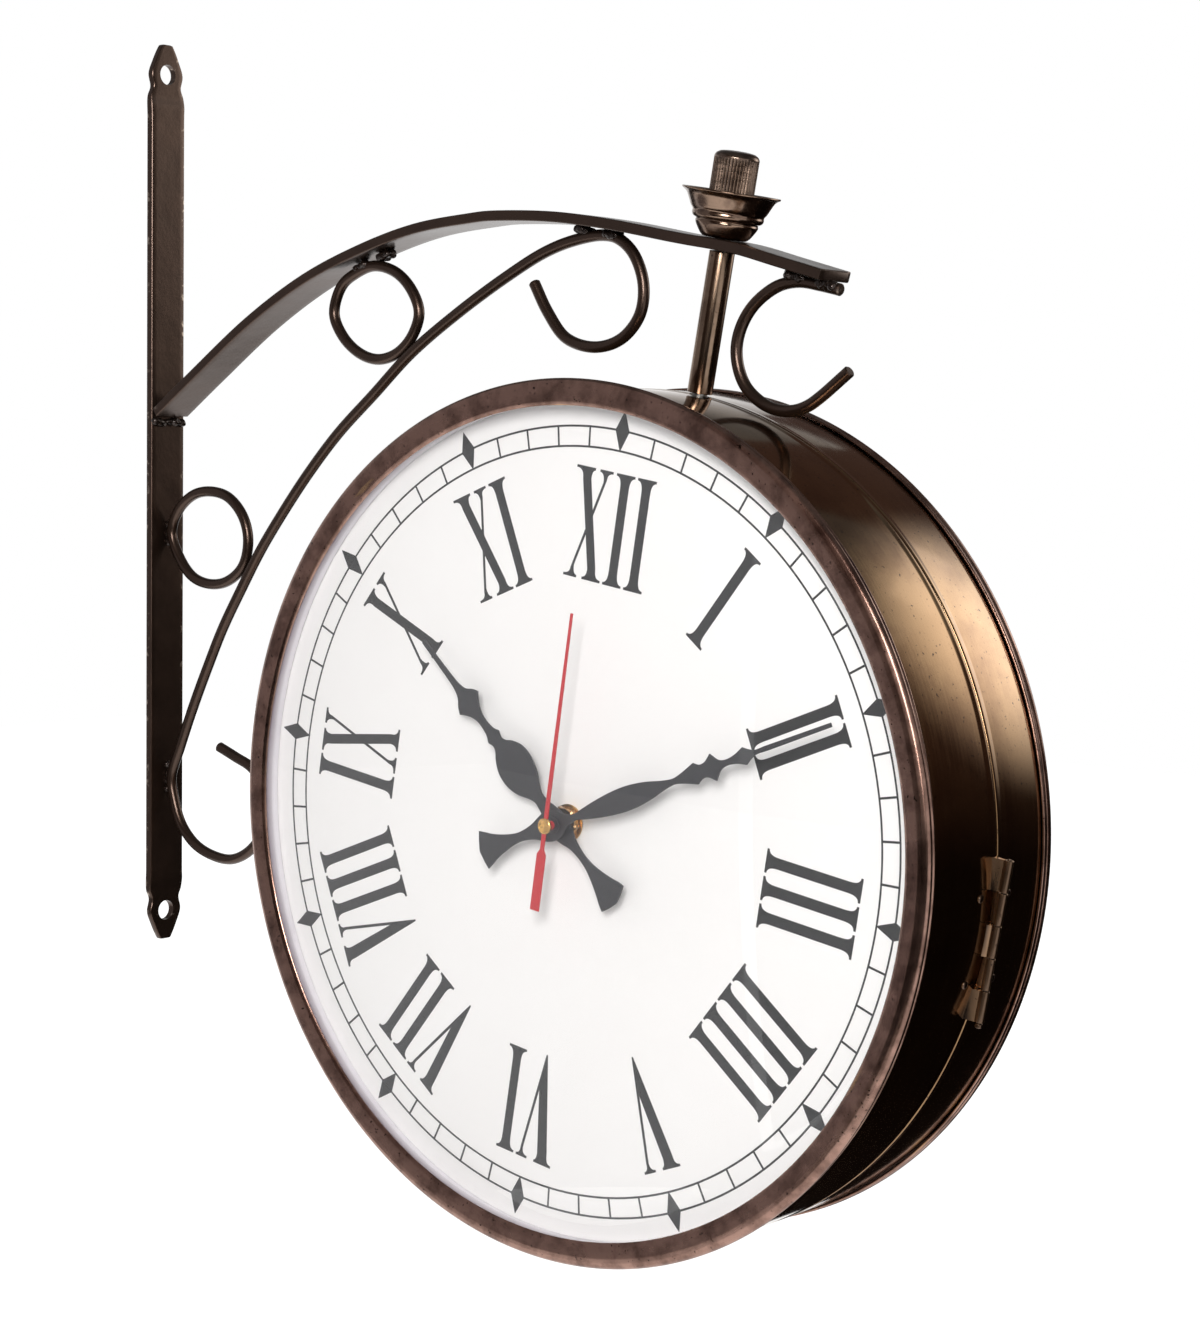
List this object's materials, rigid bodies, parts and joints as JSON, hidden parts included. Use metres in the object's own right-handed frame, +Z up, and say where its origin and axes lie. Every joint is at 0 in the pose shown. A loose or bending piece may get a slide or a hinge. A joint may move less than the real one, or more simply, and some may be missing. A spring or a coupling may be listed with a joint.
{
  "type": "double sided station clock",
  "caption": "Round double sided clock with Roman dials, hung by a stem and knurled knob from a scrolled wrought wall bracket.",
  "frame": {"origin": "centre of the wall strap's back face, midway between its two screw holes, on the bracket's middle plane", "axes": "+X out from the wall along the arm, +Z up, -Y is where the front dial looks"},
  "size_m": [0.4245, 0.0974, 0.4603],
  "materials": {
    "bracket_bronze": "dark bronze lacquer, satin",
    "case_bronze": "antiqued brass, polished",
    "bezel_bronze": "antiqued brass, mottled",
    "cup_bronze": "antiqued brass, satin",
    "knob_bronze": "antiqued brass, knurled",
    "stem_bronze": "antiqued brass, polished",
    "steel": "zinc plated",
    "brass": "turned brass",
    "glass": "clear, polished",
    "rehaut_paint": "white enamel",
    "dial_paint": "off white, printed",
    "movement_plastic": "moulded black",
    "cell_jacket": "printed sleeve",
    "hand_paint": "satin black",
    "second_hand_paint": "gloss red"
  },
  "bodies": {
    "bracket": {"wall_strap": "bracket_bronze", "arch_bar": "bracket_bronze", "scroll_rod": "bracket_bronze", "upper_ring": "bracket_bronze", "lower_ring": "bracket_bronze", "end_hook": "bracket_bronze", "clamp_cup": "cup_bronze"},
    "clock": {"stem_tube": "stem_bronze", "stem_rod": "steel", "hanger_plate": "steel", "stem_nut": "steel", "hinge_pin": "brass", "rear_drum": "case_bronze", "rear_bezel": "bezel_bronze", "rear_glass": "glass", "rear_rehaut": "rehaut_paint", "rear_dial": "dial_paint", "rear_movement": "movement_plastic", "rear_cell": "cell_jacket", "rear_bush_washer": "brass", "rear_bush_nut": "brass", "rear_hinge_leaf": "case_bronze", "rear_rivet_upper": "brass", "rear_rivet_lower": "brass"},
    "knob": {"clamp_knob": "knob_bronze"},
    "front_half": {"front_drum": "case_bronze", "front_bezel": "bezel_bronze", "front_glass": "glass", "front_rehaut": "rehaut_paint", "front_dial": "dial_paint", "front_movement": "movement_plastic", "front_cell": "cell_jacket", "front_bush_washer": "brass", "front_bush_nut": "brass", "front_hinge_leaf": "case_bronze", "front_rivet_upper": "brass", "front_rivet_lower": "brass"},
    "front_hour": {"front_hour_hand": "hand_paint"},
    "front_minute": {"front_minute_hand": "hand_paint"},
    "front_second": {"front_second_hand": "second_hand_paint"},
    "front_wheel": {"front_set_wheel": "movement_plastic"},
    "rear_hour": {"rear_hour_hand": "hand_paint"},
    "rear_minute": {"rear_minute_hand": "hand_paint"},
    "rear_second": {"rear_second_hand": "second_hand_paint"},
    "rear_wheel": {"rear_set_wheel": "movement_plastic"}
  },
  "joints": [
    {"name": "swivel", "type": "hinge", "parent": "bracket", "child": "clock", "pos_m": [0.26196, 0, -0.11095], "axis": [0.1771, 0, 0.9842], "range_deg": [-35, 50]},
    {"name": "knob_turn", "type": "hinge", "parent": "clock", "child": "knob", "pos_m": [0.30304, 0, 0.11738], "axis": [0.1771, 0, 0.9842], "range_deg": [0, 360]},
    {"name": "case_hinge", "type": "hinge", "parent": "clock", "child": "front_half", "pos_m": [0.41795, 0, -0.13902], "axis": [0.1771, 0, 0.9842], "range_deg": [0, 170]},
    {"name": "front_hour", "type": "hinge", "parent": "front_half", "child": "front_hour", "pos_m": [0.26196, -0.03565, -0.11095], "axis": [0, 1, 0], "continuous": true},
    {"name": "front_minute", "type": "hinge", "parent": "front_half", "child": "front_minute", "pos_m": [0.26196, -0.03565, -0.11095], "axis": [0, 1, 0], "continuous": true},
    {"name": "front_second", "type": "hinge", "parent": "front_half", "child": "front_second", "pos_m": [0.26196, -0.03565, -0.11095], "axis": [0, 1, 0], "continuous": true},
    {"name": "front_set", "type": "hinge", "parent": "front_half", "child": "front_wheel", "pos_m": [0.27751, -0.01665, -0.10359], "axis": [0, 1, 0], "continuous": true},
    {"name": "rear_hour", "type": "hinge", "parent": "clock", "child": "rear_hour", "pos_m": [0.26196, 0.0247, -0.11095], "axis": [0, -1, 0], "continuous": true},
    {"name": "rear_minute", "type": "hinge", "parent": "clock", "child": "rear_minute", "pos_m": [0.26196, 0.0247, -0.11095], "axis": [0, -1, 0], "continuous": true},
    {"name": "rear_second", "type": "hinge", "parent": "clock", "child": "rear_second", "pos_m": [0.26196, 0.0247, -0.11095], "axis": [0, -1, 0], "continuous": true},
    {"name": "rear_set", "type": "hinge", "parent": "clock", "child": "rear_wheel", "pos_m": [0.24995, 0.0057, -0.09863], "axis": [0, -1, 0], "continuous": true}
  ],
  "couplings": [
    {"joint": "front_hour", "follows": "front_minute", "ratio": 0.083333},
    {"joint": "front_set", "follows": "front_minute", "ratio": -1},
    {"joint": "rear_hour", "follows": "rear_minute", "ratio": 0.083333},
    {"joint": "rear_set", "follows": "rear_minute", "ratio": -1}
  ]
}
